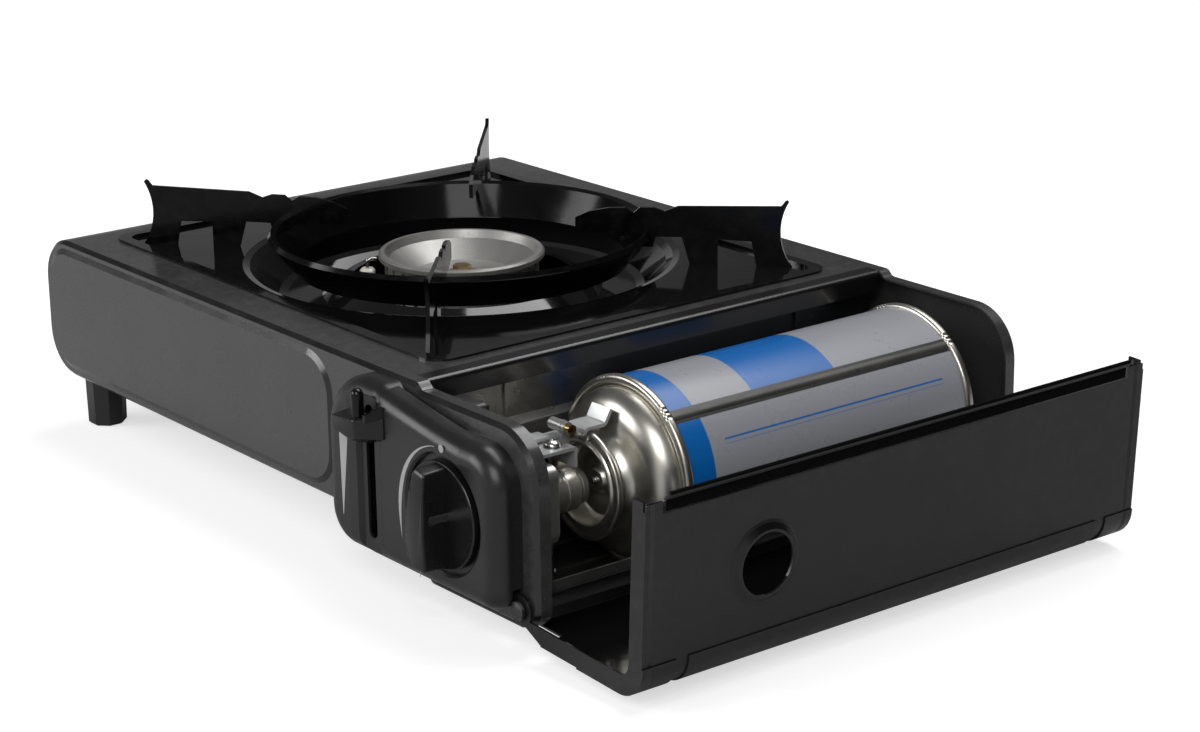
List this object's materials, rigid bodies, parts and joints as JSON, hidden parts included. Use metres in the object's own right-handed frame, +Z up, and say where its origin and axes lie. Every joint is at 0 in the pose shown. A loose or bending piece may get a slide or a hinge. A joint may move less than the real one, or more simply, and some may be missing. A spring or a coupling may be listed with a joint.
{
  "type": "butane cassette stove",
  "caption": "Low portable gas stove: boxed hob with drip tray, trivet and burner, and a side compartment for a gas cartridge under a hinged lid.",
  "frame": {"origin": "centre of the front left foot's sole", "axes": "+X right along the control side, towards the cartridge compartment; +Y towards the back; +Z up"},
  "size_m": [0.3912, 0.2466, 0.1049],
  "materials": {
    "black_enamel": "gloss",
    "charcoal_paint": "gloss",
    "zinc_plate": "satin",
    "grey_paint": "semi-gloss",
    "black_plastic": "gloss",
    "foot_plastic": "matt",
    "cast_aluminium": "satin cast",
    "brass": "turned",
    "steel": "satin",
    "silicone_lead": "matt",
    "ceramic_white": "glazed white ceramic, stood in for by gloss plastic",
    "cast_zinc": "die cast",
    "tinplate": "bright tinplate",
    "can_print": "gloss lacquer",
    "copper": "drawn tube"
  },
  "bodies": {
    "stove": {"casing_shell": "charcoal_paint", "front_plate": "charcoal_paint", "back_plate": "charcoal_paint", "base_plate": "zinc_plate", "heat_shield": "zinc_plate", "compartment_pan": "charcoal_paint", "control_cover": "black_plastic", "feet": "foot_plastic", "burner_cup": "cast_aluminium", "burner_core": "brass", "burner_bracket": "zinc_plate", "mixing_tube": "cast_aluminium", "gas_jet": "brass", "gas_pipe": "copper", "regulator_body": "cast_zinc", "regulator_nut": "brass", "inlet_nozzle": "brass", "regulator_bracket": "zinc_plate", "relief_valve": "cast_zinc", "relief_tip": "brass", "igniter_unit": "black_plastic", "igniter_lead": "silicone_lead", "electrode_insulator": "ceramic_white", "electrode_wire": "steel", "hinge_pins": "steel", "screws": "steel"},
    "tray": {"drip_tray": "black_enamel"},
    "trivet": {"support_ring": "black_enamel", "support_arms": "black_enamel"},
    "lid": {"lid_panel": "charcoal_paint"},
    "knob": {"control_knob": "black_plastic", "valve_spindle": "steel"},
    "lever": {"lock_lever": "black_plastic", "lock_slider": "zinc_plate"},
    "carriage": {"lock_hook": "zinc_plate", "lock_link": "zinc_plate"},
    "cartridge": {"can_body": "can_print", "can_shoulder": "tinplate", "valve_cup": "tinplate", "can_valve": "steel", "can_base": "tinplate"}
  },
  "joints": [
    {"name": "lid_hinge", "type": "hinge", "parent": "stove", "child": "lid", "pos_m": [0.3058, 0.0965, 0.0158], "axis": [0, -1, 0], "range_deg": [0, 93]},
    {"name": "knob_turn", "type": "hinge", "parent": "stove", "child": "knob", "pos_m": [0.2759, -0.0145, 0.0429], "axis": [0, -1, 0], "range_deg": [0, 160]},
    {"name": "lever_slide", "type": "slide", "parent": "stove", "child": "lever", "axis": [0, 0, -1], "range_m": [0, 0.034]},
    {"name": "hook_slide", "type": "slide", "parent": "stove", "child": "carriage", "axis": [0, -1, 0], "range_m": [0, 0.005]},
    {"name": "cartridge_tilt", "type": "hinge", "parent": "carriage", "child": "cartridge", "pos_m": [0.2775, 0.0315, 0.061], "axis": [-1, 0, 0], "range_deg": [-5.5, 0]},
    {"name": "tray_lift", "type": "slide", "parent": "stove", "child": "tray", "axis": [0, 0, 1], "range_m": [0, 0.03]},
    {"name": "trivet_lift", "type": "slide", "parent": "tray", "child": "trivet", "axis": [0, 0, 1], "range_m": [0, 0.05]}
  ],
  "couplings": [
    {"joint": "hook_slide", "follows": "lever_slide", "ratio": 0.147}
  ]
}
